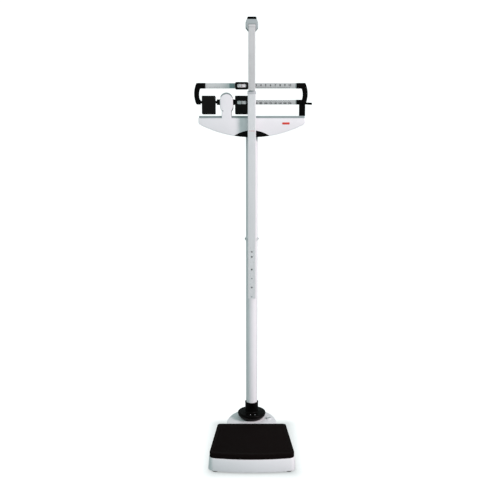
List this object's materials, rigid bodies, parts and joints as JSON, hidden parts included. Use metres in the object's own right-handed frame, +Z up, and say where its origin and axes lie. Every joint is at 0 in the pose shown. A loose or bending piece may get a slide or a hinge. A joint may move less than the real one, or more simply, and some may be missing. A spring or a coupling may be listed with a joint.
{
  "type": "physician beam scale",
  "caption": "Column weighing scale with a low platform, an eye-level beam with sliding weights and a telescopic height rod with a folding tongue.",
  "frame": {"origin": "middle of the bounding box at floor level, so x = 0 is 5.2 mm right of the column axis and y = 0 is 150 mm in front of it", "axes": "+Z up along the column, -Y towards the person standing on the platform, +X to the right of someone who faces the beam"},
  "size_m": [0.5036, 0.51, 1.837],
  "materials": {
    "white_lacquer": "smooth semi-gloss white lacquer",
    "grey_trim": "fine-grained grey moulding",
    "black_plastic": "satin black moulding",
    "black_rubber": "matt black rubber",
    "black_iron": "black paint on a casting",
    "satin_aluminium": "satin anodised extrusion",
    "bare_steel": "plain machined steel",
    "clear_plastic": "clear window",
    "grey_plastic": "satin grey moulding"
  },
  "bodies": {
    "stand": {"base_frame": "white_lacquer", "rear_deck": "white_lacquer", "wheel_axle": "bare_steel", "spirit_level_cup": "satin_aluminium", "spirit_level_glass": "clear_plastic", "column_socket": "black_iron", "socket_bolt_rear": "bare_steel", "socket_bolt_left": "bare_steel", "socket_bolt_right": "bare_steel", "column_tube": "white_lacquer", "column_boot": "black_plastic", "head_saddle": "black_plastic", "housing_front_shell": "white_lacquer", "housing_rear_shell": "white_lacquer", "housing_top_cover": "grey_trim", "fulcrum_hood": "grey_trim", "head_frame": "black_iron", "fulcrum_stand": "bare_steel", "guard_post": "black_plastic", "rod_outer": "satin_aluminium", "rod_plug_upper": "grey_plastic", "rod_plug_lower": "grey_plastic", "rod_guide": "grey_plastic", "rod_bracket_upper": "grey_plastic", "rod_bracket_lower": "grey_plastic", "rod_clamp_band": "satin_aluminium"},
    "platform": {"load_plate": "bare_steel", "platform_mat": "black_rubber"},
    "long_lever": {"long_lever": "black_iron"},
    "short_lever": {"short_lever": "black_iron"},
    "lever_shackle": {"lever_shackle": "bare_steel"},
    "draw_rod": {"draw_rod": "bare_steel"},
    "transfer_lever": {"transfer_lever": "bare_steel"},
    "load_stirrup": {"load_stirrup": "bare_steel"},
    "beam": {"left_bracket": "black_plastic", "right_bracket": "black_plastic", "upper_beam": "satin_aluminium", "lower_beam": "satin_aluminium", "beam_hub": "black_iron", "fulcrum_knife": "bare_steel", "load_knife": "bare_steel", "tare_screw": "black_iron"},
    "tare_weight": {"tare_weight": "black_iron"},
    "main_poise": {"main_poise": "black_iron", "main_poise_lens": "clear_plastic"},
    "poise_plunger": {"poise_plunger": "bare_steel"},
    "fine_poise": {"fine_poise": "black_iron", "fine_poise_lens": "clear_plastic"},
    "lock_lever": {"lock_lever": "black_plastic"},
    "height_slide": {"rod_inner": "satin_aluminium", "measuring_head": "grey_plastic", "tongue_pin": "bare_steel", "head_cap": "black_plastic"},
    "measuring_tongue": {"measuring_tongue": "grey_plastic"},
    "foot_front_left": {"foot_front_left": "black_rubber"},
    "foot_front_right": {"foot_front_right": "black_rubber"},
    "foot_rear_left": {"foot_rear_left": "black_rubber"},
    "foot_rear_right": {"foot_rear_right": "black_rubber"},
    "wheel_left": {"wheel_left": "black_rubber"},
    "wheel_right": {"wheel_right": "black_rubber"}
  },
  "joints": [
    {"name": "beam_tilt", "type": "hinge", "parent": "stand", "child": "beam", "pos_m": [-0.1127, 0.15, 1.4985], "axis": [0, 1, 0], "range_deg": [-1.2, 1.2]},
    {"name": "main_poise_slide", "type": "slide", "parent": "beam", "child": "main_poise", "axis": [1, 0, 0], "range_m": [0, 0.205]},
    {"name": "plunger_lift", "type": "slide", "parent": "main_poise", "child": "poise_plunger", "axis": [0, 0, 1], "range_m": [0, 0.0025], "stiffness_N_per_m": 300, "springref_m": -0.003},
    {"name": "fine_poise_slide", "type": "slide", "parent": "beam", "child": "fine_poise", "axis": [1, 0, 0], "range_m": [0, 0.205]},
    {"name": "tare_weight_slide", "type": "slide", "parent": "beam", "child": "tare_weight", "axis": [1, 0, 0], "range_m": [-0.005, 0.005]},
    {"name": "lock_lever_turn", "type": "hinge", "parent": "stand", "child": "lock_lever", "pos_m": [0.2173, 0.1342, 1.4925], "axis": [0, 1, 0], "range_deg": [0, 60]},
    {"name": "load_stirrup_lift", "type": "slide", "parent": "stand", "child": "load_stirrup", "axis": [0, 0, 1], "range_m": [-0.00039, 0.00039]},
    {"name": "transfer_lever_tilt", "type": "hinge", "parent": "stand", "child": "transfer_lever", "pos_m": [-0.1932, 0.15, 1.421], "axis": [0, 1, 0], "range_deg": [-0.343, 0.343]},
    {"name": "draw_rod_lift", "type": "slide", "parent": "stand", "child": "draw_rod", "axis": [0, 0, 1], "range_m": [-0.00113, 0.00113]},
    {"name": "long_lever_tilt", "type": "hinge", "parent": "stand", "child": "long_lever", "pos_m": [-0.0052, -0.22, 0.0216], "axis": [1, 0, 0], "range_deg": [-0.174, 0.174]},
    {"name": "short_lever_tilt", "type": "hinge", "parent": "stand", "child": "short_lever", "pos_m": [-0.0052, 0.035, 0.0216], "axis": [1, 0, 0], "range_deg": [-0.181, 0.181]},
    {"name": "lever_shackle_lift", "type": "slide", "parent": "stand", "child": "lever_shackle", "axis": [0, 0, 1], "range_m": [-0.0004, 0.0004]},
    {"name": "platform_lift", "type": "slide", "parent": "stand", "child": "platform", "axis": [0, 0, 1], "range_m": [-0.00012, 0.00012]},
    {"name": "height_rod_slide", "type": "slide", "parent": "stand", "child": "height_slide", "axis": [0, 0, 1], "range_m": [-0.24, 0.29]},
    {"name": "measuring_tongue_fold", "type": "hinge", "parent": "height_slide", "child": "measuring_tongue", "pos_m": [-0.0052, 0.0675, 1.8], "axis": [-1, 0, 0], "range_deg": [0, 90]},
    {"name": "foot_front_left_screw", "type": "hinge", "parent": "stand", "child": "foot_front_left", "pos_m": [-0.1552, -0.22, 0], "axis": [0, 0, 1], "continuous": true},
    {"name": "foot_front_right_screw", "type": "hinge", "parent": "stand", "child": "foot_front_right", "pos_m": [0.1448, -0.22, 0], "axis": [0, 0, 1], "continuous": true},
    {"name": "foot_rear_left_screw", "type": "hinge", "parent": "stand", "child": "foot_rear_left", "pos_m": [-0.0852, 0.17, 0], "axis": [0, 0, 1], "continuous": true},
    {"name": "foot_rear_right_screw", "type": "hinge", "parent": "stand", "child": "foot_rear_right", "pos_m": [0.0748, 0.17, 0], "axis": [0, 0, 1], "continuous": true},
    {"name": "wheel_left_roll", "type": "hinge", "parent": "stand", "child": "wheel_left", "pos_m": [-0.0552, 0.222, 0.02], "axis": [1, 0, 0], "continuous": true},
    {"name": "wheel_right_roll", "type": "hinge", "parent": "stand", "child": "wheel_right", "pos_m": [0.0448, 0.222, 0.02], "axis": [1, 0, 0], "continuous": true}
  ],
  "couplings": [
    {"joint": "load_stirrup_lift", "follows": "beam_tilt", "m_per_rad": 0.016},
    {"joint": "transfer_lever_tilt", "follows": "beam_tilt", "ratio": -0.24806},
    {"joint": "draw_rod_lift", "follows": "beam_tilt", "m_per_rad": 0.046636},
    {"joint": "long_lever_tilt", "follows": "beam_tilt", "ratio": 0.12604},
    {"joint": "short_lever_tilt", "follows": "beam_tilt", "ratio": -0.13108},
    {"joint": "lever_shackle_lift", "follows": "beam_tilt", "m_per_rad": 0.016386},
    {"joint": "platform_lift", "follows": "beam_tilt", "m_per_rad": 0.004664}
  ]
}
